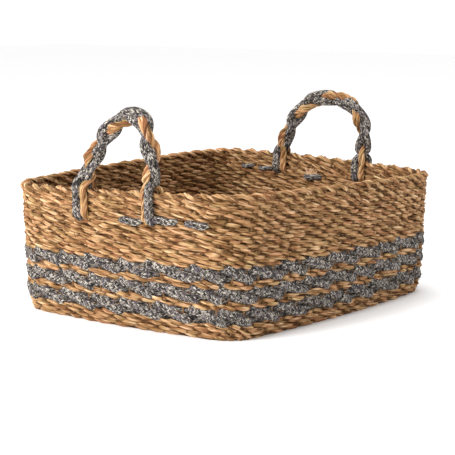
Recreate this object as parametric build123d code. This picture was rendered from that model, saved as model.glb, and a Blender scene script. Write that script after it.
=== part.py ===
from build123d import *
import math
import os

# A rectangular basket woven from seagrass over upright stakes, with three bands of
# marled grey cord low on the wall and a braided loop handle on each short side.
# Frame: origin on the floor under the middle, X along the long side, Y across, Z up.
# All sizes are in millimetres.

# ---- basket plan and wall ----
HALF_LENGTH = 188.0  # half of the long side at the rim, measured at the corners
HALF_WIDTH = 155.0  # half of the short side at the rim, measured at the corners
BELLY = 11.0  # how far each side bows out at its middle
WALL_HEIGHT = 140.0
BASE_INSET = 9.0  # how much narrower the basket is at the floor, per side
CORNER_RIM = 58.0  # plan radius of the outer corner at the rim
CORNER_BASE = 36.0  # and at the floor

STRAND_THICK = 3.2  # a flattened seagrass strand, measured through the wall
CORD_THICK = 4.0  # a grey cord strand
STAKE_DIAMETER = 3.0
STAKE_GAP = 3.9  # room between the outer and inner strands of a row
STAKE_COUNT = 64
ROW_GAP = 0.2  # clearance between two rows
SPLICE_GAP = 0.2  # clearance between two lengths of one row, end to end
WALL_THICK = 2 * STRAND_THICK + STAKE_GAP

# ---- rows, from the floor up: name, height, kind ----
ROWS = [
    ("foot_row_1", 8.1, "seagrass"),
    ("foot_row_2", 8.1, "seagrass"),
    ("grey_band_lower", 14.1, "cord"),
    ("seagrass_row_between_1", 7.8, "seagrass"),
    ("grey_band_middle", 12.2, "cord"),
    ("seagrass_row_between_2", 7.4, "seagrass"),
    ("grey_band_upper", 12.4, "cord"),
    ("seagrass_row_1", 7.9, "seagrass"),
    ("seagrass_row_2", 7.9, "seagrass"),
    ("seagrass_row_3", 7.9, "seagrass"),
    ("seagrass_row_4", 7.9, "seagrass"),
    ("seagrass_row_5", 7.9, "seagrass"),
    ("seagrass_row_6", 7.9, "seagrass"),
    ("rim_row_1", 8.5, "seagrass"),
    ("rim_row_2", 8.5, "seagrass"),
]
RIM_BORDER_HEIGHT = 5.5  # the folded-down stake ends that close the rim

# ---- woven floor ----
FLOOR_STRIP_WIDTH = 18.0
FLOOR_STRIP_PITCH = 20.5
FLOOR_STRIP_THICK = 2.8
LENGTHWISE_STRIPS = 14
CROSSWISE_STRIPS = 18

# ---- handles ----
CORD_DIAMETER = 6.4
HINGE_HEIGHT = 150.0  # the legs bend here, just above the rim
SIDE_SPREAD = 3.5  # the two grey cords lie this far each side of the braid's middle
CORD_SINK = 2.0  # and this far inside the loop's middle line
STRAND_RISE = 4.2  # the seagrass strand lies this far outside it
TAIL_TOP = 141.5
TAIL_BOTTOM = 109.0
FACE_CLEARANCE = 1.0  # between a strand and the woven face that it lies on
STITCH_DIAMETER = 5.6
STITCH_HEIGHT = 112.0

# Middle line of each loop as (Y, Z), from one leg over the top to the other.
LEFT_LOOP = [
    (36, 150), (31, 164), (20.5, 178.5), (8, 192.5), (-8, 206), (-27, 214.5),
    (-41.5, 211.5), (-49, 199), (-53, 182.5), (-54.5, 166), (-52.5, 150),
]
RIGHT_LOOP = [
    (66.5, 150), (61, 165.5), (52.5, 181.5), (40.5, 195), (25, 206), (6, 211.5),
    (-13.5, 210.5), (-30.5, 204), (-41.5, 193), (-47, 179.5), (-48.5, 164.5), (-47.5, 150),
]
# Lacing stitches beside the handle legs, as (face, first Y, last Y).
LEFT_STITCHES = [
    ("outer", -15, -39), ("outer", -62, -84), ("outer", -96, -114),
    ("inner", -62, -80), ("inner", 52, 72),
]
RIGHT_STITCHES = [
    ("inner", 78, 98), ("inner", 103, 121), ("inner", 8, 30),
    ("outer", 36, 56), ("outer", -56, -78),
]


def share_up(z):
    """Height as a share of the wall, 0 at the floor and 1 at the rim."""
    return min(max(z / WALL_HEIGHT, 0.0), 1.0)


def plan(z, depth):
    """Plan outline of the wall at height z, a depth inside its outer face."""
    inset = BASE_INSET * (1 - share_up(z)) + depth
    half_x = HALF_LENGTH - inset
    half_y = HALF_WIDTH - inset
    radius = CORNER_BASE + (CORNER_RIM - CORNER_BASE) * share_up(z) - depth
    front = ThreePointArc((-half_x, -half_y), (0, -half_y - BELLY), (half_x, -half_y))
    right = ThreePointArc((half_x, -half_y), (half_x + BELLY, 0), (half_x, half_y))
    back = ThreePointArc((half_x, half_y), (0, half_y + BELLY), (-half_x, half_y))
    left = ThreePointArc((-half_x, half_y), (-half_x - BELLY, 0), (-half_x, -half_y))
    face = make_face([front, right, back, left])
    return fillet(face.vertices(), radius)


def ring(z0, z1, depth0, depth1):
    """Closed ring between two depths in the wall, from z0 up to z1."""
    middle = (z0 + z1) / 2
    section = plan(middle, depth0) - plan(middle, depth1)
    return Pos(0, 0, z0) * extrude(section, z1 - z0)


def lengths(whole):
    """A ring cut at the middle of each side into the four lengths it is laid in."""
    span = 4 * HALF_LENGTH
    across = Box(SPLICE_GAP, span, span)
    along = Box(span, SPLICE_GAP, span)
    return (whole - across - along).solids()


def row(z0, z1, kind):
    """One woven row: strands outside the stakes and strands inside them."""
    proud = CORD_THICK - STRAND_THICK if kind == "cord" else 0.0
    inner_face = STRAND_THICK + STAKE_GAP
    outer = ring(z0, z1, -proud, STRAND_THICK)
    inner = ring(z0, z1, inner_face, WALL_THICK)
    return [*lengths(outer), *lengths(inner)]


def rod(start, end, diameter):
    """Straight round rod between two points."""
    line = Line(start, end)
    section = Plane(line @ 0, z_dir=line % 0) * Circle(diameter / 2)
    return sweep(section, line)


def stakes(bottom, top):
    """Upright stakes, evenly spaced along the middle of the wall and leaning with it."""
    middle = WALL_THICK / 2
    upper = plan(top, middle).face().outer_wire()
    lower = plan(bottom, middle).face().outer_wire()
    rods = []
    for index in range(STAKE_COUNT):
        high = upper @ (index / STAKE_COUNT)
        _, low, _ = lower.distance_to_with_closest_points(Vertex(high.X, high.Y, 0))
        rods.append(rod((low.X, low.Y, bottom), (high.X, high.Y, top), STAKE_DIAMETER))
    return rods


def floor_strips(count, direction, z0):
    """Flat strips side by side across the floor, trimmed to the foot of the wall."""
    region = extrude(plan(0, WALL_THICK + ROW_GAP), WALL_HEIGHT / 4)
    strips = []
    for index in range(count):
        place = (index - (count - 1) / 2) * FLOOR_STRIP_PITCH
        if direction == "x":
            blank = Pos(0, place, z0) * Box(
                2 * HALF_LENGTH, FLOOR_STRIP_WIDTH, FLOOR_STRIP_THICK,
                align=(Align.CENTER, Align.CENTER, Align.MIN))
        else:
            blank = Pos(place, 0, z0) * Box(
                FLOOR_STRIP_WIDTH, 2 * HALF_WIDTH, FLOOR_STRIP_THICK,
                align=(Align.CENTER, Align.CENTER, Align.MIN))
        strips.append(blank & region)
    return strips


def wall_point(side, y, z, depth):
    """Point abreast of y on a short side of the wall, a depth inside its outer face."""
    outline = plan(z, depth).face().outer_wire()
    beside = Vertex(side * (HALF_LENGTH + BELLY), y, 0)
    _, point, _ = outline.distance_to_with_closest_points(beside)
    return Vector(point.X, point.Y, z)


def clear_depth(face, diameter):
    """Depth in the wall of the middle of a rod that lies against one of its faces."""
    reach = diameter / 2 + FACE_CLEARANCE
    return -reach if face == "outer" else WALL_THICK + reach


def shifted(points, distance):
    """The loop's points moved outwards from the loop by a distance."""
    moved = []
    for index, (y, z) in enumerate(points):
        before = points[max(index - 1, 0)]
        after = points[min(index + 1, len(points) - 1)]
        along = (after[0] - before[0], after[1] - before[1])
        length = math.hypot(*along)
        if index in (0, len(points) - 1):
            outward = math.copysign(1, y)
            moved.append((y + outward * distance, z))
        else:
            moved.append((y + along[1] / length * distance, z - along[0] / length * distance))
    return moved


def loop_tube(points, x, distance):
    """Tube along the loop: straight runs joined by the largest arcs that fit."""
    route = [Vector(x, y, z) for y, z in shifted(points, distance)]
    radii = []
    for before, corner, after in zip(route, route[1:], route[2:]):
        turn = (corner - before).get_angle(after - corner)
        run = min((corner - before).length, (after - corner).length)
        radii.append(0.45 * run / math.tan(math.radians(turn) / 2))
    print("  loop radii", [round(radius) for radius in radii])
    path = FilletPolyline(*route, radius=radii)
    section = Plane(path @ 0, z_dir=path % 0) * Circle(CORD_DIAMETER / 2)
    return sweep(section, path)


def tail(side, face, y):
    """Upright end of a handle strand against one face of the wall."""
    depth = clear_depth(face, CORD_DIAMETER)
    low = wall_point(side, y, TAIL_BOTTOM, depth)
    high = wall_point(side, y, TAIL_TOP, depth)
    return rod(low, high, CORD_DIAMETER)


def stitch(side, face, y0, y1):
    """Lacing stitch lying along one face of the wall."""
    depth = clear_depth(face, STITCH_DIAMETER)
    start = wall_point(side, y0, STITCH_HEIGHT, depth)
    end = wall_point(side, y1, STITCH_HEIGHT, depth)
    return rod(start, end, STITCH_DIAMETER)


def handle(name, side, loop, stitches):
    """One handle: three loop strands, their ends in the wall, and its lacing."""
    middle_x = wall_point(side, loop[0][0], WALL_HEIGHT, WALL_THICK / 2).X
    legs = (loop[0][0], loop[-1][0])
    lean = CORD_DIAMETER / 2 + 0.4
    grey_tails = []
    seagrass_tails = []
    for y in legs:
        away = math.copysign(lean, y)
        grey_tails.append(tail(side, "outer", y + away))
        grey_tails.append(tail(side, "inner", y + away))
        seagrass_tails.append(tail(side, "outer", y - away))
        seagrass_tails.append(tail(side, "inner", y - away))
    return {
        name + "_grey_cord_1": [loop_tube(loop, middle_x - SIDE_SPREAD, -CORD_SINK)],
        name + "_grey_cord_2": [loop_tube(loop, middle_x + SIDE_SPREAD, -CORD_SINK)],
        name + "_seagrass_strand": [loop_tube(loop, middle_x, STRAND_RISE)],
        name + "_grey_tails": grey_tails,
        name + "_seagrass_tails": seagrass_tails,
        name + "_lacing": [stitch(side, *values) for values in stitches],
    }


def build():
    """Every node of the basket, by name."""
    nodes = {}
    z = 0.0
    for name, height, kind in ROWS:
        nodes[name] = row(z + ROW_GAP / 2 if z else 0.0, z + height - ROW_GAP / 2, kind)
        z += height
    border_bottom = z + ROW_GAP / 2
    border = ring(border_bottom, border_bottom + RIM_BORDER_HEIGHT, 0, WALL_THICK)
    nodes["rim_border"] = lengths(border)
    stake_bottom = 2 * FLOOR_STRIP_THICK
    nodes["stakes"] = stakes(stake_bottom, border_bottom - ROW_GAP)
    nodes["floor_strips_lengthwise"] = floor_strips(LENGTHWISE_STRIPS, "x", 0)
    nodes["floor_strips_crosswise"] = floor_strips(
        CROSSWISE_STRIPS, "y", FLOOR_STRIP_THICK + ROW_GAP)
    nodes.update(handle("left_handle", -1, LEFT_LOOP, LEFT_STITCHES))
    nodes.update(handle("right_handle", 1, RIGHT_LOOP, RIGHT_STITCHES))
    print("rim at", round(border_bottom + RIM_BORDER_HEIGHT, 2))
    return nodes


os.makedirs("parts", exist_ok=True)
for node_name, solids in build().items():
    children = [solid for shape in solids for solid in shape.solids()]
    export_step(Compound(label=node_name, children=children), f"parts/{node_name}.step")
    print(node_name, len(children))
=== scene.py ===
# %% [markdown]
# # A woven seagrass basket
# The model is a rectangular basket: seagrass strands woven round upright stakes, three
# bands of thick grey cord low on the wall, and two braided loop handles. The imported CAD
# frame gives the sizes and the places. Everything here is added around that frame.

# %% Load the frame
import math

import bpy
import numpy as np
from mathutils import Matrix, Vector


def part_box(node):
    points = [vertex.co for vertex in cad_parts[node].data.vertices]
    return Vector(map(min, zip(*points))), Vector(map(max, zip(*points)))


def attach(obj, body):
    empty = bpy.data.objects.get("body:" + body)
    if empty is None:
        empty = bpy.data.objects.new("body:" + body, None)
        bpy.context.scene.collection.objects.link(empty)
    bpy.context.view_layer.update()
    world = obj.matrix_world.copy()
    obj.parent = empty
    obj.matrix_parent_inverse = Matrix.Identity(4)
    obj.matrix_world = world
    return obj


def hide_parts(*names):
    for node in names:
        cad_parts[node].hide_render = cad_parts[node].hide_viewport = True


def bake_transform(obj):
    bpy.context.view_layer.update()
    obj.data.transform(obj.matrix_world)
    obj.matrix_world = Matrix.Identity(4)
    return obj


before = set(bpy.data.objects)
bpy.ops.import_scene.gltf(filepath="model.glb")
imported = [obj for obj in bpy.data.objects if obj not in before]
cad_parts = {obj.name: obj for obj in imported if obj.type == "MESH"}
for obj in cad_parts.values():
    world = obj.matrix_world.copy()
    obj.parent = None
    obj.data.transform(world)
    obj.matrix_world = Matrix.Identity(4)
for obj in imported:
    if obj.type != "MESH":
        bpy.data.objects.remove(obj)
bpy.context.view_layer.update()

# %% [markdown]
# ## The plan of the wall
# Seen from above, each side of the basket bows out a little and the corners are round.
# The outline is four long arcs joined by four short ones, and it narrows towards the
# floor. One function gives a point of the wall from two numbers: the share of the way
# round, and the height. Every woven strand is a path through that function.

# %% Basket sizes, in metres
HALF_LENGTH, HALF_WIDTH = 0.188, 0.155
BELLY = 0.011
WALL_HEIGHT = 0.140
BASE_INSET = 0.009
CORNER_RIM, CORNER_BASE = 0.058, 0.036
WALL_THICK = 0.0103
RIM_WAVE = 0.0047
FOOT_TUCK, FOOT_HEIGHT = 0.006, 0.024  # how far the foot curls in, and below what height
STAKES = 64


def plan_shape(z):
    """Half sizes, corner radius, side arcs and corner centre of the outline at height z.

    A side arc passes through its two corners and bows out by BELLY in the middle, so its
    radius is (half side squared + BELLY squared) / (2 BELLY). The corner circle touches
    two side arcs from inside, so its centre is where two circles cross.
    """
    up = np.clip(z / WALL_HEIGHT, 0, 1)
    a = HALF_LENGTH - BASE_INSET * (1 - up)
    b = HALF_WIDTH - BASE_INSET * (1 - up)
    r = CORNER_BASE + (CORNER_RIM - CORNER_BASE) * up
    r_long = (a * a + BELLY ** 2) / (2 * BELLY)
    r_short = (b * b + BELLY ** 2) / (2 * BELLY)
    y_long = b + BELLY - r_long
    x_short = a + BELLY - r_short
    far, near = r_long - r, r_short - r
    span = np.hypot(x_short, y_long)
    along = (far ** 2 - near ** 2 + span ** 2) / (2 * span)
    off = np.sqrt(far ** 2 - along ** 2)
    ex, ey = x_short / span, -y_long / span
    cx = along * ex + off * ey
    cy = y_long + along * ey - off * ex
    return a, b, r, r_long, r_short, y_long, x_short, cx, cy


def side_angles(z):
    """The turn of the outline's normal where each of its nine arcs starts, and at the end."""
    _, _, _, _, _, y_long, x_short, cx, cy = plan_shape(z)
    alpha = np.arctan2(cx, cy - y_long)
    beta = np.arctan2(cy, cx - x_short)
    half = np.pi / 2
    return np.stack([
        0 * alpha - half, alpha - half, -beta, beta, half - alpha, half + alpha,
        np.pi - beta, np.pi + beta, 3 * half - alpha, 0 * alpha + 3 * half])


def rim_breaks():
    """The share of the way round at which each arc starts, measured on the rim."""
    _, _, r, r_long, r_short, *_ = plan_shape(np.array(WALL_HEIGHT))
    radii = np.array([r_long, r, r_short, r, r_long, r, r_short, r, r_long])
    lengths = np.diff(side_angles(np.array(WALL_HEIGHT)), axis=0) * radii
    return np.concatenate([[0], np.cumsum(lengths) / lengths.sum()]), lengths.sum()


BREAKS, PERIMETER = rim_breaks()
PITCH = PERIMETER / STAKES
print("rim", round(float(PERIMETER), 4), "m round, stakes", round(float(PITCH), 4), "m apart")


def pick(which, *options):
    """At each place, the option whose number is given for that place."""
    return np.take_along_axis(np.stack(options), which[None], 0)[0]


def wall(t, z):
    """Point and outward direction of the wall's outer face.

    t is the share of the way round from the middle of the front, anticlockwise, and z the
    height. The normal's angle runs evenly along each arc, and the point is the arc's
    centre plus its radius along the normal. The foot curls in by FOOT_TUCK times the
    square of how far below FOOT_HEIGHT it lies. The rim waves: two opposite corners are
    high and the other two low.
    """
    t = np.mod(t, 1.0)
    t, z = np.broadcast_arrays(t, z)
    _, _, r, r_long, r_short, y_long, x_short, cx, cy = plan_shape(z)
    angles = side_angles(z)
    part = np.clip(np.searchsorted(BREAKS, t, side="right") - 1, 0, 8)
    share = (t - BREAKS[part]) / (BREAKS[part + 1] - BREAKS[part])
    start, end = pick(part, *angles), pick(part + 1, *angles)
    turn = start + share * (end - start)
    zero = 0 * cx
    px = pick(part, zero, cx, x_short, cx, zero, -cx, -x_short, -cx, zero)
    py = pick(part, -y_long, -cy, zero, cy, y_long, cy, zero, -cy, -y_long)
    radius = pick(part, r_long, r, r_short, r, r_long, r, r_short, r, r_long)
    normal = np.stack([np.cos(turn), np.sin(turn), 0 * turn], -1)
    radius = radius - FOOT_TUCK * np.clip(1 - z / FOOT_HEIGHT, 0, 1) ** 2
    x, y = px + radius * normal[..., 0], py + radius * normal[..., 1]
    wave = RIM_WAVE * (x * y) / (HALF_LENGTH * HALF_WIDTH) * np.clip(z / WALL_HEIGHT, 0, 1.2)
    return np.stack([x, y, z + wave], -1), normal


# %% [markdown]
# ## From numbers to a mesh
# Every strand in this basket is a tube that follows a path, with a section that swells
# and narrows. The section's points are worked out for the whole path at once as one
# array, and one helper turns such an array into a mesh with a UV map and a colour for
# every point.

# %% Grid to mesh
def signed_volume(points, closed):
    """Volume inside a tube's side faces, negative if the faces look inwards.

    It is a sixth of the sum over triangles of one corner, measured from the tube's mean
    point, dotted with the cross product of the other two.
    """
    q = points - points.reshape(-1, 3).mean(0)
    after = np.roll(q, -1, axis=0)
    if not closed:
        q, after = q[:-1], after[:-1]
    b, c = np.roll(q, -1, axis=1), np.roll(after, -1, axis=1)
    return ((q * np.cross(b, c)).sum() + (q * np.cross(c, after)).sum()) / 6


def mesh_piece(name, grids, material, body, stands_for=()):
    """One object from tubes given as (points, along, colour, closed).

    points is an array of path steps by section steps by 3. along is the length at each
    step. colour is an array of the same steps by 4. closed says that the last step meets
    the first one; an open tube gets a flat cap at each end.
    """
    coords, colours, faces, starts, uvs = [], [], [], [], []
    offset, corner = 0, 0
    for points, along, colour, closed in grids:
        if signed_volume(points, closed) < 0:
            points, colour = points[:, ::-1], colour[:, ::-1]
        steps, around = points.shape[:2]
        i = np.arange(steps if closed else steps - 1)[:, None]
        j = np.arange(around)[None, :]
        nexti, nextj = (i + 1) % steps, (j + 1) % around
        quads = np.stack([i * around + j, i * around + nextj,
                          nexti * around + nextj, nexti * around + j], -1)
        faces.append(quads.reshape(-1) + offset)
        count = quads.shape[0] * quads.shape[1]
        starts.append(corner + 4 * np.arange(count))
        corner += 4 * count
        edge = np.append(along, along[-1] + (along[-1] - along[-2])) if closed else along
        u = np.stack([edge[i], edge[i], edge[i + 1], edge[i + 1]], -1)
        v = np.stack([j, j + 1, j + 1, j], -1) / around
        u, v = np.broadcast_arrays(u, v)
        uvs.append(np.stack([u, v], -1).reshape(-1, 2))
        if not closed:
            rim = np.arange(around)
            for cap, at in ((rim[::-1], 0), (rim, (steps - 1) * around)):
                faces.append(cap + at + offset)
                starts.append(np.array([corner]))
                uvs.append(np.stack([0 * rim + along[0 if at == 0 else -1], rim / around], -1))
                corner += around
        coords.append(points.reshape(-1, 3))
        colours.append(colour.reshape(-1, 4))
        offset += steps * around
    coords, colours = np.concatenate(coords), np.concatenate(colours)
    faces, starts, uvs = np.concatenate(faces), np.concatenate(starts), np.concatenate(uvs)
    mesh = bpy.data.meshes.new(name)
    mesh.vertices.add(len(coords))
    mesh.vertices.foreach_set("co", coords.astype(np.float32).ravel())
    mesh.loops.add(len(faces))
    mesh.loops.foreach_set("vertex_index", faces.astype(np.int32))
    mesh.polygons.add(len(starts))
    mesh.polygons.foreach_set("loop_start", starts.astype(np.int32))
    mesh.update(calc_edges=True)
    mesh.polygons.foreach_set("use_smooth", np.ones(len(starts), bool))
    mesh.uv_layers.new(name="UVMap").data.foreach_set("uv", uvs.astype(np.float32).ravel())
    layer = mesh.color_attributes.new("strand", "FLOAT_COLOR", "POINT")
    layer.data.foreach_set("color", colours.astype(np.float32).ravel())
    mesh.materials.append(material)
    mesh.validate()
    piece = bpy.data.objects.new(name, mesh)
    bpy.context.scene.collection.objects.link(piece)
    if body:
        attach(piece, body)
    if stands_for:
        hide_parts(*stands_for)
    print(name, len(starts), "faces")
    return piece


# %% [markdown]
# ## Shader sums
# A small class lets the material recipes read like arithmetic.

# %% Shader helper
class Value:
    """A number's socket in a node tree, with operators that add Math nodes."""

    def __init__(self, paint, socket):
        self.paint, self.socket = paint, socket

    def sum(self, operation, *others):
        return self.paint.add("ShaderNodeMath", {"operation": operation}, self, *others)

    def __add__(self, other):
        return self.sum("ADD", other)

    def __sub__(self, other):
        return self.sum("SUBTRACT", other)

    def __mul__(self, other):
        return self.sum("MULTIPLY", other)

    def __rsub__(self, other):
        return self.paint.add("ShaderNodeMath", {"operation": "SUBTRACT"}, other, self)

    __radd__, __rmul__ = __add__, __mul__


class Paint:
    """A material under construction."""

    def __init__(self, name):
        self.material = bpy.data.materials.new(name)
        self.material.use_nodes = True
        self.tree = self.material.node_tree
        self.shader = self.tree.nodes["Principled BSDF"]

    def add(self, kind, settings=None, *inputs, **named):
        """Any node: its settings first, then its sockets by place or by name."""
        node = self.tree.nodes.new(kind)
        for key, value in (settings or {}).items():
            if key == "stops":
                ramp = node.color_ramp
                while len(ramp.elements) < len(value):
                    ramp.elements.new(0.5)
                for element, (place, colour) in zip(ramp.elements, value):
                    element.position = place
                    element.color = (*colour, 1)
            else:
                setattr(node, key, value)
        for key, value in [*enumerate(inputs), *named.items()]:
            self.feed(node.inputs[key], value)
        return Value(self, node.outputs[0])

    def feed(self, socket, value):
        """Link a value to a socket, or set a constant on it."""
        if isinstance(value, Value):
            self.tree.links.new(value.socket, socket)
        else:
            socket.default_value = value

    def ramp(self, factor, *stops):
        """Colour that runs through the stops as the factor goes from 0 to 1."""
        return self.add("ShaderNodeValToRGB", {"stops": stops}, factor)

    def mix(self, factor, a, b, blend="MIX"):
        """Blend of two colours."""
        node = self.tree.nodes.new("ShaderNodeMix")
        node.data_type = "RGBA"
        node.blend_type = blend
        self.feed(node.inputs[0], factor)
        self.feed(node.inputs[6], a)
        self.feed(node.inputs[7], b)
        return Value(self, node.outputs[2])

    def vector(self, x, y, z):
        """Three numbers as a vector."""
        return self.add("ShaderNodeCombineXYZ", None, x, y, z)

    def noise(self, place, detail, rough):
        """Soft noise between 0 and 1, with about one bump to a unit of length."""
        return self.add("ShaderNodeTexNoise", None, Vector=place, Scale=1.0, Detail=detail,
                        Roughness=rough)

    def parts(self, kind, names, **named):
        """The outputs of one node, by name."""
        first = self.add(kind, None, **named)
        return [Value(self, first.socket.node.outputs[name]) for name in names]

    def finished(self, colour, roughness, specular, height, strength, distance):
        """The material, once its surface has a colour, a roughness and a bumpy height."""
        normal = self.add("ShaderNodeBump", None, Strength=strength, Distance=distance,
                          Height=height)
        self.feed(self.shader.inputs["Base Color"], colour)
        self.feed(self.shader.inputs["Roughness"], roughness)
        self.feed(self.shader.inputs["Specular IOR Level"], specular)
        self.feed(self.shader.inputs["Normal"], normal)
        return self.material


def strand_inputs(paint):
    """The length along, the share round, and the three numbers of a strand's colour attribute:
    its own tone and hue, and its depth, which carries painted shade.
    """
    uv = paint.add("ShaderNodeUVMap", {"uv_map": "UVMap"})
    along, around = paint.parts("ShaderNodeSeparateXYZ", ("X", "Y"), Vector=uv)
    tint = paint.add("ShaderNodeVertexColor", {"layer_name": "strand"})
    tone, hue, depth = paint.parts(
        "ShaderNodeSeparateColor", ("Red", "Green", "Blue"), Color=tint)
    return along, around, tone, hue, depth


def seagrass(name):
    """Twisted dry seagrass: straw, orange and green tones by yarn, with fine fibres along it.

    Fibres are noise stretched along the yarn. Its place is a circle carried along, so it
    meets itself round the yarn. A yarn's tone and hue come from its colour attribute, and
    the attribute's third number is painted shade: it darkens what lies deep in the weave.
    """
    paint = Paint(name)
    along, around, tone, hue, depth = strand_inputs(paint)
    angle = around * (2 * math.pi)
    ring_x, ring_y = angle.sum("COSINE"), angle.sum("SINE")
    fibres = paint.noise(paint.vector(ring_x * 1.9, ring_y * 1.9, along * 70), 3.0, 0.65)
    broad = paint.noise(paint.vector(ring_x * 0.5, ring_y * 0.5, along * 45), 1.0, 0.5)
    level = tone * 0.60 + fibres * 1.30 + broad * 0.55 - 0.775
    plain = paint.ramp(
        level, (0.06, (0.080, 0.030, 0.009)), (0.32, (0.275, 0.137, 0.050)),
        (0.56, (0.53, 0.312, 0.146)), (0.90, (0.86, 0.64, 0.40)))
    warm = paint.ramp(
        level, (0.06, (0.085, 0.025, 0.009)), (0.34, (0.31, 0.122, 0.050)),
        (0.58, (0.56, 0.284, 0.145)), (0.92, (0.84, 0.58, 0.38)))
    green = paint.ramp(
        level, (0.06, (0.070, 0.038, 0.009)), (0.34, (0.25, 0.155, 0.048)),
        (0.58, (0.475, 0.333, 0.143)), (0.92, (0.80, 0.65, 0.40)))
    warmth = paint.ramp(hue, (0.50, (0, 0, 0)), (0.90, (0.8, 0.8, 0.8)))
    colour = paint.mix(warmth, plain, warm)
    youth = paint.ramp(hue, (0.08, (0.7, 0.7, 0.7)), (0.36, (0, 0, 0)))
    colour = paint.mix(youth, colour, green)
    # Painted shade: the depth number darkens what lies deep in the weave and in the creases
    # between yarns.
    shade = paint.ramp(
        depth, (0.0, (0.10, 0.070, 0.045)), (0.5, (0.48, 0.42, 0.36)), (1.0, (1, 1, 1)))
    colour = paint.mix(1.0, colour, shade, "MULTIPLY")
    return paint.finished(colour, 0.60 + 0.25 * (1 - fibres), 0.15,
                          fibres + 0.6 * broad, 0.6, 0.0010)


WALES = 8  # columns of stitches round a cord
KNIT_STITCH, KNIT_SLANT = 0.0011, 1.6  # length of a stitch, and a leg's slant in stitches


def marled_cord(name):
    """Knitted marled cord: columns of V stitches in black, grey and white yarn.

    The share round is cut into wales, and each wale into two legs that slant opposite
    ways. A leg's number and its stitch number pick its yarn from white noise. Each leg is
    painted darker towards its sides and ends, as shade in the creases between stitches,
    and the colour attribute's third number paints shade deep in the weave.
    ways. A leg's number and its stitch number pick its yarn from white noise.
    """
    paint = Paint(name)
    along, around, _, _, depth = strand_inputs(paint)
    column = around * WALES
    inside = column.sum("FRACT")
    leg = (inside - 0.5).sum("ABSOLUTE") * 2
    course = along * (1 / KNIT_STITCH) + leg * KNIT_SLANT
    cell = paint.vector(course.sum("FLOOR"), (column * 2).sum("FLOOR"), 0.5)
    yarn = paint.add("ShaderNodeTexWhiteNoise", {"noise_dimensions": "3D"}, Vector=cell)
    patch = paint.noise(paint.vector(along * 90, around * 4, 0.5), 1.0, 0.5)
    pick = yarn * 0.98 + patch * 0.14 - 0.08
    colour = paint.ramp(
        pick, (0.14, (0.014, 0.012, 0.011)), (0.38, (0.060, 0.052, 0.047)),
        (0.58, (0.165, 0.145, 0.128)), (0.78, (0.35, 0.315, 0.27)), (0.95, (0.62, 0.57, 0.49)))
    cool = paint.add("ShaderNodeTexWhiteNoise", {"noise_dimensions": "3D"},
                     Vector=paint.vector(course.sum("FLOOR"), column.sum("FLOOR"), 7.5))
    tinted = paint.mix(paint.ramp(cool, (0.80, (0, 0, 0)), (0.86, (0.5, 0.5, 0.5))),
                       colour, (0.16, 0.13, 0.17, 1))
    across = (leg - 0.5).sum("ABSOLUTE") * 2
    ends = (course.sum("FRACT") - 0.5).sum("ABSOLUTE") * 2
    height = (1 - across * across) * (1 - ends * ends * 0.8)
    # Painted shade: each stitch is darker towards its sides and ends, where the creases between
    # stitches are.
    crevice_shade = paint.ramp(height, (0.0, (0.45, 0.43, 0.42)), (0.35, (1, 1, 1)))
    colour = paint.mix(1.0, tinted, crevice_shade, "MULTIPLY")
    # Painted shade deep in the weave, from the depth number.
    shade = paint.ramp(depth, (0.0, (0.24, 0.22, 0.20)), (0.9, (1, 1, 1)))
    colour = paint.mix(1.0, colour, shade, "MULTIPLY")
    return paint.finished(colour, 0.85, 0.2, height, 0.7, 0.0008)


straw = seagrass("seagrass")
grey_yarn = marled_cord("marled_cord")

# %% [markdown]
# ## The woven wall
# A line of seagrass is two strands twined round the stakes: where one passes outside a
# stake, the other passes inside it. So a strand's distance from the middle of the wall is
# a cosine of the way round, and it is widest where it bulges over a stake. The line above
# is shifted by half a stake. Each stitch also slants, which gives the wall its rope-like
# look, and every stitch differs a little. A seagrass strand is itself a loose bundle of
# twisted yarns.
#
# A line of a grey band is one thick knitted cord that passes outside one stake and inside
#  the next, and the cord above it does the opposite. Behind every line, flat straw is
#  packed into the middle of the wall, painted dark as shade.

# %% A woven strand
SAMPLES = 10  # path steps between two stakes
YARNS = 3  # yarns in a seagrass strand
YARN_SIDES = 5  # points round a yarn
CORD_SAMPLES, CORD_SIDES = 20, 32
CORE_SAMPLES, CORE_SIDES = 3, 6
CORE_THIN = 0.0009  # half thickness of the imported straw
CORE_HIGH = 0.68  # its half height, as a share of the height of a line
ACROSS = np.array([1.0, 0, 0])
UPRIGHT = np.array([0, 0, 1.0])
rng = np.random.default_rng(7)


def smooth_step(x):
    """0 below 0, 1 above 1, and a smooth rise between."""
    x = np.clip(x, 0, 1)
    return x * x * (3 - 2 * x)


def per_stitch(low, high, turns):
    """A random value for every stitch of a strand, carried smoothly from one to the next."""
    values = rng.uniform(low, high, STAKES)
    turns = np.mod(turns, STAKES)
    whole = turns.astype(int)
    part = smooth_step(turns - whole)
    return values[whole] * (1 - part) + values[(whole + 1) % STAKES] * part


def wander(size, turns):
    """A random value from minus size to size for every stitch, carried smoothly on."""
    return per_stitch(-size, size, turns)


def ring_angles(count):
    """Angles of the points round a section, as one row."""
    return np.linspace(0, 2 * np.pi, count, endpoint=False)[None, :]


def tinted(points, tone, hue, depth):
    """Colours of a tube's points: tone, hue and depth, which carries painted shade (1 for none).
    Each value is one number, or one for each path step.
    """
    colour = np.stack(np.broadcast_arrays(tone, hue, depth, np.ones(len(points))), -1)
    return np.broadcast_to(colour[:, None, :], (*points.shape[:2], 4))


def stake_lean(t, z):
    """How far the stakes stray sideways at a place on the wall, in stake spacings.

    Three slow waves of the way round and the height, so that neighbours stray together.
    """
    way = 2 * np.pi * t
    return (0.16 * np.sin(5 * way + 38 * z) + 0.12 * np.sin(11 * way - 61 * z + 1.3)
            + 0.08 * np.sin(17 * way + 95 * z + 0.4))


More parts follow.
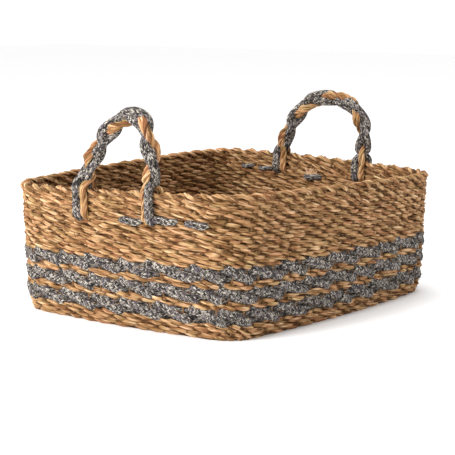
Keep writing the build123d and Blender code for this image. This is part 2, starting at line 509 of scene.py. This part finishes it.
def section(path, across, up, half_thick, half_high, twist, ridges, depth, around):
    """Tube points: each path point plus an oval in the plane of two directions.

    The oval is half_thick along across and half_high along up, and shallow ridges run
    round it and turn with twist. Each direction is one vector, or one for each path step.
    """
    angle = ring_angles(around)
    swell = 1 + depth * np.cos(ridges * angle + twist[:, None])
    side = (half_thick[:, None] * np.cos(angle) * swell)[..., None]
    rise = (half_high[:, None] * np.sin(angle) * swell)[..., None]
    across, up = np.broadcast_arrays(across, up, path)[:2]
    return path[:, None, :] + side * across[:, None, :] + rise * up[:, None, :]


def woven_path(height, shift, swing, bias, slant, samples, uneven=1.0):
    """Middle line of one strand right round the wall at a height.

    The way round is counted in stakes, and the strand is outside at the stake number
    shift. With c the cosine of half a turn per stake, the strand lies
    swing * (c + bias * (1 - c squared)) from the middle of the wall, so a bias keeps it
    outside for longer. The slant is minus slant times the sine.
    """
    turns = np.arange(STAKES * samples) / samples
    t = turns / STAKES
    stray = stake_lean(t, height) + wander(0.24, turns) * uneven
    angle = np.pi * (turns - shift + stray)
    c, s = np.cos(angle), np.sin(angle)
    lean = slant * (1 + wander(0.5, turns) * uneven)
    z = height + wander(0.0005, turns) * uneven - lean * s
    face, normal = wall(t, z)
    out = c + bias * (1 - c * c)
    step_out = swing * out + wander(0.0005, turns) * uneven
    path = face + normal * (step_out - WALL_THICK / 2)[:, None]
    return turns, path, normal, c


def strand_colour(tone, hue, depth, spread, normal, half_thick):
    """Tone, hue and depth for every point of a yarn.

    Depth carries painted shade. A yarn's points on its upper and lower sides, where the
    strand meets its neighbours, get painted crease shade: their depth falls to 0.6 times
    the strand's depth the less far they lie from the strand's path along the wall's
    normal, measured in strand thicknesses.
    """
    facing = np.abs((spread * normal[:, None, :]).sum(-1)) / half_thick[:, None]
    # Painted crease shade: darker where the yarn's surface faces up or down towards its
    # neighbours.
    painted_crease_shade = 0.60 + 0.40 * smooth_step(facing / 0.7)
    ones = np.ones_like(painted_crease_shade)
    return np.stack([tone[:, None] * ones, hue[:, None] * ones, depth[:, None] * painted_crease_shade,
                     ones], -1)


def bundle(turns, path, normal, half_thick, half_high, lays, depth):
    """Loosely twisted yarns that together fill an oval round a closed path.

    A yarn's middle goes round the oval lays times on the way round the basket. It goes
    down as it runs along the outer face, and strays a little from its place.
    """
    grids = []
    start = rng.uniform(0, 2 * np.pi)
    for yarn in range(YARNS):
        turn = start + 2 * np.pi * (yarn / YARNS - turns / STAKES * lays)
        turn = turn + wander(0.7, turns)
        size = 1 + wander(0.22, turns * 2)
        thick, high = half_thick * 0.60 * size, half_high * 0.56 * size
        centre = (path + normal * ((half_thick - thick) * np.cos(turn))[:, None]
                  + UPRIGHT * ((half_high - high) * np.sin(turn))[:, None])
        points = section(centre, normal, UPRIGHT, thick, high, turns * 6 + yarn, 2, 0.12,
                         YARN_SIDES)
        tone = 0.5 * per_stitch(0, 1, turns) + 0.5 * per_stitch(0, 1, turns * 3)
        hue = 0.7 * per_stitch(0, 1, turns / 2) + 0.3 * per_stitch(0, 1, turns * 2)
        spread = points - path[:, None, :]
        colour = strand_colour(tone, hue, depth, spread, normal, half_thick)
        along = turns * PITCH + rng.uniform(0, 5)
        grids.append((points, along, colour, True))
    return grids


def knit_relief(angle):
    """Ribs of a knitted cord: a cosine of the angle round it, one wave for each column."""
    return 0.07 * np.cos(WALES * angle)


def painted_weave_shade(c):
    """Painted shade of a strand as a depth number, from c, which is 1 outside a stake and -1
    inside.

    The number is least, so the paint darkest, where the strand crosses the wall, and a little
    more outside than inside.
    """
    crossing = 0.20 + 0.80 * smooth_step(np.abs(c) / 0.45)
    return crossing * (0.84 + 0.16 * smooth_step(0.5 + 0.5 * c))


def seagrass_strand(height, shift, swing, bias, slant, thick, high_out, high_in, lays):
    """A seagrass strand: thick over a stake and thinner between two stakes."""
    turns, path, normal, c = woven_path(height, shift, swing, bias, slant, SAMPLES)
    size = 1 + wander(0.12, turns)
    half_high = (high_in + (high_out - high_in) * c * c) * size
    return bundle(turns, path, normal, thick * size, half_high, lays, painted_weave_shade(c))


def cord_strand(height, shift, swing, bias, slant, thick, high_out, high_in):
    """A grey strand: one knitted cord, with ribs along it."""
    turns, path, normal, c = woven_path(height, shift, swing, bias, slant, CORD_SAMPLES, 0.6)
    out = c + bias * (1 - c * c)
    size = 1 + wander(0.06, turns) + wander(0.03, turns * 5)
    half_high = (high_in + (high_out - high_in) * smooth_step(0.6 + out)) * size
    angle = ring_angles(CORD_SIDES)
    ring = 1 + knit_relief(angle)
    points = (path[:, None, :]
              + (thick * size[:, None] * np.cos(angle) * ring)[..., None] * normal[:, None, :]
              + (half_high[:, None] * np.sin(angle) * ring)[..., None] * UPRIGHT)
    colour = tinted(points, 0, 0, painted_weave_shade(out))
    return [(points, turns * PITCH + rng.uniform(0, 5), colour, True)]


def core_strand(height, half_high):
    """Packed straw in the middle of the wall, between two strands: no light gets through, and
    its colour is painted dark as shade deep in the weave.
    """
    turns = np.arange(STAKES * CORE_SAMPLES) / CORE_SAMPLES
    face, normal = wall(turns / STAKES, height + wander(0.0003, turns))
    path = face - normal * (WALL_THICK / 2)
    size = np.ones(len(turns))
    points = section(path, normal, UPRIGHT, size * CORE_THIN, size * half_high, 0 * turns,
                     2, 0, CORE_SIDES)
    # Depth 0.12: the packed straw is painted dark as shade.
    return [(points, turns * PITCH, tinted(points, 0.5, 0.5, 0.12), True)]


# How far a strand swings from the wall's middle, its outward bias and its slant; its half
# thickness, its half height over a stake and between two; and for a bundle of yarns, how
# many times it is twisted on the way round the basket.
KINDS = {
    "seagrass": (0.0026, 0.05, 0.0009, 0.0023, 0.0025, 0.0020, 12),
    "rim": (0.0021, 0.05, 0.0013, 0.0024, 0.0027, 0.0024, 22),
    "cord": (0.0022, 0.62, 0.0018, 0.0034, 0.0050, 0.0025),
}
LINES = 2  # lines of weaving in a row
ROWS = {  # start of a row's name: its kind of weaving and its slot
    "foot_row": ("seagrass", "seagrass"),
    "grey_band": ("cord", "grey_cord"),
    "seagrass_row": ("seagrass", "seagrass"),
    "rim_row": ("rim", "rim_seagrass"),
}


def woven_row(name, bottom, top, kind, first):
    """A row of LINES lines of weaving between two heights, numbered on from first."""
    step = (top - bottom) / LINES
    grids = []
    for line in range(LINES):
        height = bottom + (line + 0.5) * step
        odd = (first + line) % 2
        if kind == "cord":
            grids += cord_strand(height, odd, *KINDS[kind])
        else:
            for twin in (0, 1):
                grids += seagrass_strand(height, twin + 0.5 * odd, *KINDS[kind])
        grids += core_strand(height, step * CORE_HIGH)
    for points, *_ in grids:  # the lowest strands lie flat on the table
        points[..., 2] = np.maximum(points[..., 2], 0)
    material = grey_yarn if kind == "cord" else straw
    return mesh_piece(name + "_strands", grids, material, "basket", (name,))


rows = [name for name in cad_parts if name.startswith(tuple(ROWS))]
rows.sort(key=lambda name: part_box(name)[0][2])
for index, row_name in enumerate(rows):
    low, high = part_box(row_name)
    row_kind, row_slot = next(ROWS[start] for start in ROWS if row_name.startswith(start))
    woven_row(row_name, low[2], high[2], row_kind, LINES * index)

# %% [markdown]
# ## The rim and the stakes
# The stakes end in a border: each one bends over and is twisted in with the next, so the
# top edge is a thick rope of two plies. Each ply is a bundle of loose yarns, and its middle
# is carried along a helix round the rope's middle line. Loose ends of straw stick out of
# the weave and the rim.

# %% Rim border and stakes
PLIES, PLY_THICK, PLY_HIGH = 2, 0.0030, 0.0026  # plies in the border, and their half sizes
PLY_SPREAD = 0.0023  # how far a ply's middle rises from the rope's middle line
PLY_TWISTS = 60  # twists of a ply's yarns on the way round the basket
BORDER_STEPS = 1100


def border_rope(height, lays):
    """A rope along the rim: each ply is a bundle of yarns that follows a helix.

    A ply's middle goes round the rope's middle line lays times on the way round the
    basket. Its distance outwards is 1.3 times its distance up. A ply is painted darker as
    shade where it runs along the underside of the rope.
    """
    turns = np.arange(BORDER_STEPS) / BORDER_STEPS * STAKES
    z = height + wander(0.0005, turns)
    face, normal = wall(turns / STAKES, z)
    middle = face - normal * (WALL_THICK / 2)
    grids = []
    for ply in range(PLIES):
        angle = 2 * np.pi * (ply / PLIES - turns / STAKES * lays)
        path = middle + (PLY_SPREAD * 1.3 * np.cos(angle))[:, None] * normal
        path = path + (PLY_SPREAD * np.sin(angle))[:, None] * UPRIGHT
        size = 1 + wander(0.15, turns)
        # Painted shade: a ply's depth number is least where it runs along the rope's underside.
        depth = 0.55 + 0.45 * smooth_step(0.5 + 0.5 * np.abs(np.cos(angle)) + np.sin(angle))
        grids += bundle(turns, path, normal, PLY_THICK * size, PLY_HIGH * size, PLY_TWISTS,
                        depth)
    return grids


border_low, border_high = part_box("rim_border")
border_middle = (border_low[2] + border_high[2]) / 2
border_grids = border_rope(border_middle - 0.0007, STAKES / 2)
border_grids += core_strand(border_low[2] + 0.0008, 0.0036)
mesh_piece("rim_border_rope", border_grids, straw, "basket", ("rim_border",))


def stray_straws(count, low, high, lift, rise):
    """Loose ends of straw that leave the weave, each a tapered rod of a few faces.

    A straw runs along the wall from a random place with a random slope, and leaves the
    face by lift times its share squared, and upwards by rise times its share squared.
    """
    share = np.linspace(0, 1, 6)
    grids = []
    for _ in range(count):
        length = rng.uniform(0.005, 0.013)
        slope = rng.normal(-0.18, 0.30)
        way = rng.choice([-1, 1])
        t = rng.uniform(0, 1) + way * share * length * math.cos(slope) / PERIMETER
        z = rng.uniform(low, high) + way * share * length * math.sin(slope)
        z = np.maximum(z + rng.uniform(0, rise) * share ** 2, 0.0006)
        out = rng.uniform(0, lift) * share ** 2 - 0.0009
        face, normal = wall(t, z)
        path = face + normal * out[:, None]
        radius = rng.uniform(0.00022, 0.00042) * (1 - 0.75 * share)
        points = section(path, normal, UPRIGHT, radius, radius, 0 * share, 2, 0, 4)
        # Depth 0.8: the loose ends are painted a little darker as shade.
        colour = tinted(points, rng.uniform(0, 1), rng.uniform(0, 1), 0.8)
        grids.append((points, share * length + rng.uniform(0, 1), colour, False))
    return grids


mesh_piece("stray_straws_wall", stray_straws(900, 0.004, WALL_HEIGHT, 0.0022, 0), straw,
           "basket")
rim_straws = stray_straws(260, WALL_HEIGHT - 0.004, WALL_HEIGHT - 0.0005, 0.002, 0.003)
mesh_piece("stray_straws_rim", rim_straws, straw, "basket")


def upright_rods(low, high, radius):
    """Thin straight rods up the middle of the wall, one for each stake."""
    grids = []
    heights = np.linspace(low, high, 8)
    for stake in range(STAKES):
        t = (stake - stake_lean(stake / STAKES, heights)) / STAKES
        face, normal = wall(t, heights)
        path = face - normal * (WALL_THICK / 2)
        across = np.stack([-normal[:, 1], normal[:, 0], 0 * normal[:, 0]], -1)
        size = np.full(len(heights), radius)
        points = section(path, normal, across, size, size, heights * 0, 3, 0.04, 8)
        # Depth 0.6: the rods are painted darker as shade inside the wall.
        grids.append((points, heights, tinted(points, 0.4, 0.5, 0.6), False))
    return grids


stake_low, stake_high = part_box("stakes")
mesh_piece("stake_rods", upright_rods(stake_low[2], stake_high[2], 0.0015), straw,
           "basket", ("stakes",))

# %% [markdown]
# ## The floor
# The floor is plaited from flat strips of three strands each. A strip rises over every
# second crossing strip and dips under the others.

# %% Plaited floor
FLOOR_STRIPS = {"x": 14, "y": 18}  # strips that run along each axis
STRIP_SPACING, STRAND_SPACING = 0.0205, 0.0062
FLOOR_MIDDLE, FLOOR_LIFT = 0.0031, 0.0011  # height of the floor's middle, and of the waves
FLOOR_WIDE, FLOOR_THICK = 0.0031, 0.0017  # half sizes of a floor strand
FLOOR_STEPS = 60


def floor_strip_grids(axis):
    """Three strands for each strip of a floor layer, waving over and under the other layer.

    A strand's height is the middle of the floor plus a cosine of its place along the
    strip, whose half wave is the spacing of the strips.
    """
    count = FLOOR_STRIPS[axis]
    crossings = FLOOR_STRIPS["y" if axis == "x" else "x"]
    grids = []
    for strip in range(count):
        place = (strip - (count - 1) / 2) * STRIP_SPACING
        for strand in (0, 1, 2):
            side = place + (strand - 1) * STRAND_SPACING
            reach = floor_reach(side, axis)
            if reach == 0:
                continue
            line = np.linspace(-reach, reach, FLOOR_STEPS)
            cross = line / STRIP_SPACING + (crossings - 1) / 2
            z = FLOOR_MIDDLE + FLOOR_LIFT * np.cos(np.pi * (cross + strip + (axis == "y")))
            wobble = 0.0004 * np.sin(line * 90 + strand * 2 + strip)
            if axis == "x":
                path, across = np.stack([line, side + wobble, z], -1), np.array([0, 1.0, 0])
            else:
                path, across = np.stack([side + wobble, line, z], -1), -ACROSS
            size = np.ones(FLOOR_STEPS)
            points = section(path, across, UPRIGHT, size * FLOOR_WIDE, size * FLOOR_THICK,
                             line * 300, 3, 0.05, 6)
            # Depth 0.55: the floor strands are painted darker as shade inside the basket.
            colour = tinted(points, rng.uniform(0.25, 0.9), rng.uniform(0, 1), 0.55)
            grids.append((points, line + reach + strip, colour, False))
    return grids


def floor_reach(side, axis):
    """How far a floor strand runs before it meets the wall, or 0 if it lies outside."""
    t = np.linspace(0, 1, 2000)
    face, normal = wall(t, np.full(2000, 0.004))
    inner = face - normal * WALL_THICK * 0.8
    along, across = (inner[:, 0], inner[:, 1]) if axis == "x" else (inner[:, 1], inner[:, 0])
    near = np.abs(across - side) < 0.0015
    return float(np.abs(along[near]).min()) if near.any() else 0


for axis, node in (("x", "floor_strips_lengthwise"), ("y", "floor_strips_crosswise")):
    mesh_piece(node + "_strands", floor_strip_grids(axis), straw,
               "basket", (node,))

# %% [markdown]
# ## The handles
# A handle is a plait of three: two grey cords and one bundle of seagrass. In a plait of
# three each strand swings from side to side once a repeat and passes from front to back
# twice, and the three are a third of a repeat apart. At each foot the strands part: some
# run down the outer face of the wall and some down the inner face, and dive into it.

# %% Handle paths
SIGN = {"left": -1, "right": 1}  # the side of the basket, along X
TAIL_BOTTOM = {"left": 0.1085, "right": 0.1165}
LEG_FOOT = 0.130  # height below which a loop's middle line runs straight down
TAIL_FREE, PLAIT_START = 0.1395, 0.1545  # heights where a tail leaves the wall and joins in
TAIL_DIVE = 0.006  # height over which a tail's end dives into the wall
PLAIT_REPEAT = 0.094
FIRST_PHASE = {"left": 0.768, "right": 0.9215}  # share of a repeat at the first tail's end
PLAIT_WIDTH, PLAIT_DEPTH = 0.0046, 0.0035
CORD_RADIUS, YARN_RADIUS = 0.0045, 0.0023
CORD_STEPS, YARN_STEPS = 560, 260
YARN_TURN, YARN_WIDE, YARN_DEEP = 0.045, 0.0029, 0.0017  # how three yarns wind together
NARROWER, DEEPER = 0.72, 1.30  # the seagrass third's swing, against a cord's
THIN_TURN = 0.026  # length of a turn of the thin yarns inside one yarn
LUMP, LUMP_WAVES = 0.09, 190  # a cord's lumps: share of its radius, radians in a metre

LOOPS = {  # (Y, Z) of each loop's middle line, in millimetres
    "left": [(32, 150), (27.5, 164), (18, 178.5), (7, 192.5), (-8, 206), (-27, 214.5),
             (-41.5, 211.5), (-49, 199), (-53, 182.5), (-54.5, 166), (-52.5, 150)],
    "right": [(66.5, 150), (61, 165.5), (52.5, 181.5), (40.5, 195), (25, 206), (6, 211.5),
              (-13.5, 210.5), (-30.5, 204), (-41.5, 193), (-47, 179.5), (-48.5, 164.5),
              (-47.5, 150)],
}
# Each strand: which third of the plait, then for the first and the last leg the face it
# runs down and how far it stands from the leg's middle line, in millimetres.
STRANDS = {
    "left": {
        "grey_cord_1": (0, "outer", 8.5, "outer", -2.5),
        "grey_cord_2": (1, "inner", 4.0, "inner", 3.0),
        "seagrass_yarn_1": (2, "outer", 1.5, "outer", 5.5),
        "seagrass_yarn_2": (2, "outer", -2.0, "inner", -4.5),
        "seagrass_yarn_3": (2, "inner", -5.0, "inner", -8.5),
    },
    "right": {
        "grey_cord_1": (0, "inner", 5.0, "inner", 6.0),
        "grey_cord_2": (1, "outer", 3.0, "outer", -2.0),
        "seagrass_yarn_1": (2, "inner", -2.5, "inner", 0.0),
        "seagrass_yarn_2": (2, "inner", -6.0, "inner", -3.5),
        "seagrass_yarn_3": (2, "outer", -3.5, "outer", 4.5),
    },
}


def smooth_line(points, steps):
    """Catmull-Rom curve through the points, evenly spaced along its length."""
    p = np.array(points, float)
    p = np.vstack([2 * p[0] - p[1], p, 2 * p[-1] - p[-2]])
    u = np.linspace(0, len(p) - 3 - 1e-9, 4000)
    k = u.astype(int)
    f = (u - k)[:, None]
    a, b, c, d = p[k], p[k + 1], p[k + 2], p[k + 3]
    curve = 0.5 * (2 * b + (c - a) * f + (2 * a - 5 * b + 4 * c - d) * f ** 2
                   + (3 * b - a - 3 * c + d) * f ** 3)
    length = np.concatenate([[0], np.cumsum(np.linalg.norm(np.diff(curve, axis=0), axis=1))])
    even = np.linspace(0, length[-1], steps)
    return np.stack([np.interp(even, length, column) for column in curve.T], -1), even


def unit(vectors):
    """The vectors, each divided by its length."""
    return vectors / np.linalg.norm(vectors, axis=1)[:, None]


def handle_strand(side, third, first_face, first_off, last_face, last_off, yarn, radius, steps):
    """Middle line of one strand of a handle, from one tail to the other.

    The loop's middle line runs straight down from each foot. Over the loop the strand is
    offset outwards by PLAIT_WIDTH times the sine of its phase, squared off a little, and
    against X by PLAIT_DEPTH times the sine of twice its phase. Down the legs it is offset
    to its own place on its face of the wall, and the two offsets change over above the
    rim. The seagrass third is narrower and deeper, and its yarns wind round each other.
    """
    sign = SIGN[side]
    loop = [(y / 1000, z / 1000) for y, z in LOOPS[side]]
    bottom = TAIL_BOTTOM[side]
    line = [(loop[0][0], bottom), (loop[0][0], LEG_FOOT), *loop,
            (loop[-1][0], LEG_FOOT), (loop[-1][0], bottom)]
    middle, along = smooth_line(line, steps)
    tangent = unit(np.gradient(middle, along, axis=0))
    outward = np.stack([-tangent[:, 1], tangent[:, 0]], -1)
    outward *= 1 if outward[steps // 2, 1] > 0 else -1
    node_low, node_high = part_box(f"{side}_handle_seagrass_strand")
    x0 = (node_low[0] + node_high[0]) / 2
    way = along + bottom - TAIL_BOTTOM["left"]
    phase = 2 * np.pi * (way / PLAIT_REPEAT + third / 3 + FIRST_PHASE[side])
    width = PLAIT_WIDTH * np.tanh(1.5 * np.sin(phase)) / math.tanh(1.5)
    depth = PLAIT_DEPTH * np.sin(2 * phase)
    if yarn is not None:
        turn = 2 * np.pi * (along / YARN_TURN + yarn / 3)
        width = width * NARROWER + YARN_WIDE * np.cos(turn)
        depth = depth * DEEPER + YARN_DEEP * np.sin(turn)
    plait = np.stack([x0 - depth, middle[:, 0] + outward[:, 0] * width,
                      middle[:, 1] + outward[:, 1] * width], -1)
    first = np.arange(steps) < steps // 2
    face = np.where(first, 1.0 if first_face == "outer" else -1.0,
                    1.0 if last_face == "outer" else -1.0)
    off = np.where(first, first_off, last_off) / 1000
    surface, _ = wall(leg_share(sign, middle[:, 0]), middle[:, 1])
    dive = smooth_step((middle[:, 1] - bottom) / TAIL_DIVE)
    stand = WALL_THICK / 2 * 0.96 + radius * 0.55
    place = surface[:, 0] - sign * WALL_THICK / 2 + sign * face * stand * (0.25 + 0.75 * dive)
    tail = np.stack([place, middle[:, 0] + off, surface[:, 2]], -1)
    weight = smooth_step((middle[:, 1] - TAIL_FREE) / (PLAIT_START - TAIL_FREE))[:, None]
    return tail * (1 - weight) + plait * weight, along


def leg_share(sign, y):
    """The share of the way round at which the short side is abreast of y."""
    t = np.linspace(0.15, 0.35, 2000) if sign > 0 else np.linspace(0.65, 0.85, 2000)
    face, _ = wall(t, np.full(2000, 0.13))
    order = np.argsort(face[:, 1])
    return np.interp(y, face[order, 1], t[order])


def frame_along(path, reference):
    """Two directions square to a path: one is also square to the reference direction."""
    tangent = unit(np.gradient(path, axis=0))
    side = unit(np.cross(tangent, reference))
    return side, np.cross(side, tangent)


def tube_along(path, radius, around, reference=ACROSS, flatten=1.0, knit=False):
    """Round tube on a path in space, with a cord's ribs if knit.

    Its section stands square to the path, and flatten squashes it.
    """
    side, front = frame_along(path, reference)
    angle = ring_angles(around)
    size = radius[:, None] * np.ones_like(angle)
    if knit:
        size = size * (1 + knit_relief(angle))
    return (path[:, None, :] + (size * np.cos(angle))[..., None] * side[:, None, :]
            + (size * np.sin(angle) * flatten)[..., None] * front[:, None, :])


def thin_yarns(path, along, radius, yarn, around):
    """Three thin yarns twisted round a path: each middle is a helix, and each swells."""
    side, front = frame_along(path, ACROSS)
    reach = 0.52 * radius
    tubes = []
    for thin in range(3):
        turn = 2 * np.pi * (thin / 3 - along / THIN_TURN) + yarn
        helix = (path + (reach * np.cos(turn))[:, None] * side
                 + (reach * np.sin(turn))[:, None] * front)
        knots = np.linspace(0, along[-1], 24)
        swell = np.interp(along, knots, rng.uniform(0.52, 0.78, 24)) * radius
        tubes.append(tube_along(helix, swell, around))
    return tubes


STANDS_FOR = {  # the nodes of the frame that each visible strand stands for
    "grey_cord_1": ("grey_cord_1", "grey_tails"),
    "grey_cord_2": ("grey_cord_2",),
    "seagrass": ("seagrass_strand", "seagrass_tails"),
}
for side in ("left", "right"):
    parts_of = {name: [] for name in STANDS_FOR}
    for name, (third, *legs) in STRANDS[side].items():
        if name.startswith("grey"):
            path, along = handle_strand(side, third, *legs, None, CORD_RADIUS, CORD_STEPS)
            lump = CORD_RADIUS * (1 + LUMP * np.sin(along * LUMP_WAVES + third * 2))
            tubes = [tube_along(path, lump, CORD_SIDES, flatten=0.92, knit=True)]
            part = name
        else:
            yarn = int(name[-1])
            path, along = handle_strand(side, third, *legs, yarn, YARN_RADIUS, YARN_STEPS)
            tubes = thin_yarns(path, along, YARN_RADIUS, yarn, 6)
            part = "seagrass"
        for points in tubes:
            tone = np.interp(along, np.linspace(0, along[-1], 12), rng.uniform(0.0, 0.85, 12))
            hue = np.interp(along, np.linspace(0, along[-1], 9), rng.uniform(0.0, 1.0, 9))
            colour = tinted(points, tone, hue, 1)
            parts_of[part].append((points, along + rng.uniform(0, 5), colour, False))
    for name, grids in parts_of.items():
        material, slot = (straw, "seagrass") if name == "seagrass" else (grey_yarn, "grey_cord")
        nodes = [f"{side}_handle_{node}" for node in STANDS_FOR[name]]
        piece = mesh_piece(f"{side}_handle_{name}_plait", grids, material, None, nodes)
        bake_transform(piece)

# %% [markdown]
# ## The lacing
# A length of grey cord ties each handle into the wall. It runs in and out like a sewing
# stitch, so it shows as short dashes. Beside one of them a tuft of straw has frayed.

# %% Lacing stitches
STITCHES = {  # face, first Y, last Y, height and radius, in millimetres
    "left": [("outer", -14, -41, 111, 3.8), ("outer", -53, -84, 113.5, 3.8),
             ("outer", -94, -119, 111.5, 3.8), ("inner", -60, -82, 112, 3.6),
             ("inner", 50, 74, 112, 3.6)],
    "right": [("inner", 80, 98, 120, 2.6), ("inner", 106, 124, 121, 2.6),
              ("inner", 10, 32, 115.5, 3.6), ("outer", 34, 58, 112, 3.6),
              ("outer", -54, -80, 112, 3.6)],
}


def stitch_tube(side, face, y0, y1, height, size):
    """A dash of cord that comes out of the wall, lies on its face and goes back in.

    Its distance from the middle of the wall is a flat-topped arch along its length.
    """
    share = np.linspace(0, 1, 60)
    y = (y0 + (y1 - y0) * share) / 1000
    z = height / 1000 + 0.0008 * np.sin(np.pi * 2 * share)
    surface, normal = wall(leg_share(SIGN[side], y), z)
    arch = 1 - np.abs(2 * share - 1) ** 4
    out = 1 if face == "outer" else -1
    lift = (WALL_THICK / 2 * 0.45 + (WALL_THICK / 2 * 0.62) * arch) * out
    path = surface - normal * WALL_THICK / 2 + normal * lift[:, None]
    along = share * abs(y1 - y0) / 1000
    points = tube_along(path, size / 1000 * (0.70 + 0.30 * arch), 24, UPRIGHT)
    return points, along, tinted(points, 0.5, 0.5, 1), False


for side, stitches in STITCHES.items():
    mesh_piece(f"{side}_handle_lacing_cord", [stitch_tube(side, *values) for values in stitches],
               grey_yarn, "basket", (f"{side}_handle_lacing",))


def frayed_tuft(side, y_low, y_high, height, count):
    """Frayed straw ends that fan upwards from a stitch on the inner face.

    The span and the height are in millimetres. Each end is a tapered rod that leans by up
    to 0.6 of its length, and leaves the face by up to 3 mm times its share squared.
    """
    share = np.linspace(0, 1, 6)
    grids = []
    for _ in range(count):
        length = rng.uniform(0.005, 0.0105)
        y = rng.uniform(y_low, y_high) / 1000 + rng.uniform(-0.6, 0.6) * share * length
        z = height / 1000 + share * length
        surface, normal = wall(leg_share(SIGN[side], y), z)
        out = WALL_THICK + 0.0004 + rng.uniform(0.0006, 0.003) * share ** 2
        path = surface - normal * out[:, None]
        radius = rng.uniform(0.0006, 0.0011) * (1 - 0.6 * share)
        across = np.stack([-normal[:, 1], normal[:, 0], 0 * share], -1)
        points = section(path, normal, across, radius, radius, 0 * share, 2, 0, 5)
        colour = tinted(points, rng.uniform(0.7, 1.2), rng.uniform(0.6, 1), 1)
        grids.append((points, share * length + rng.uniform(0, 1), colour, False))
    return grids


mesh_piece("right_handle_lacing_tuft", frayed_tuft("right", 14, 29, 116, 30), straw,
           "basket")

# %% [markdown]
# ## Camera, light and floor
# A long lens looks at the front left corner of the basket from a little above it. The
# light is soft and nearly even: a white surround, a weak light above, and a stronger one
# from the left.

# %% Stage
def add_camera(azimuth, elevation, distance, target, lens, shift):
    """Camera on a sphere round the target, looking at it."""
    data = bpy.data.cameras.new("camera")
    data.lens = lens
    data.shift_x, data.shift_y = shift
    camera = bpy.data.objects.new("camera", data)
    a, e = math.radians(azimuth), math.radians(elevation)
    back = Vector((math.sin(a) * math.cos(e), -math.cos(a) * math.cos(e), math.sin(e)))
    camera.location = Vector(target) + back * distance
    camera.rotation_euler = back.to_track_quat("Z", "Y").to_euler()
    bpy.context.scene.collection.objects.link(camera)
    bpy.context.scene.camera = camera


def add_light(name, place, target, size, power):
    """Square soft light aimed at a point."""
    data = bpy.data.lights.new(name, "AREA")
    data.size, data.energy = size, power
    light = bpy.data.objects.new(name, data)
    light.location = place
    light.rotation_euler = (Vector(place) - Vector(target)).to_track_quat("Z", "Y").to_euler()
    bpy.context.scene.collection.objects.link(light)


def add_floor():
    """Wide pale floor, just under the basket."""
    mesh = bpy.data.meshes.new("floor")
    half = 6.0
    mesh.from_pydata([(-half, -half, 0), (half, -half, 0), (half, half, 0), (-half, half, 0)],
                     [], [(0, 1, 2, 3)])
    paint = Paint("floor")
    paint.shader.inputs["Base Color"].default_value = (0.97, 0.97, 0.97, 1)
    paint.shader.inputs["Roughness"].default_value = 0.9
    mesh.materials.append(paint.material)
    floor = bpy.data.objects.new("floor", mesh)
    bpy.context.scene.collection.objects.link(floor)


add_camera(azimuth=-52.109, elevation=8.888, distance=1.7177, target=(0, 0, 0.070),
           lens=123.64, shift=(-0.0054, 0.01815))
add_light("key", place=(-1.55, 0.55, 0.95), target=(0, 0, 0.08), size=1.0, power=34)
add_light("top", place=(0, 0, 2.2), target=(0, 0, 0), size=1.0, power=22)
add_floor()
world = bpy.data.worlds.new("studio")
world.use_nodes = True
world.node_tree.nodes["Background"].inputs["Color"].default_value = (1, 1, 1, 1)
world.node_tree.nodes["Background"].inputs["Strength"].default_value = 1.0
bpy.context.scene.world = world
bpy.context.scene.view_settings.view_transform = "Standard"
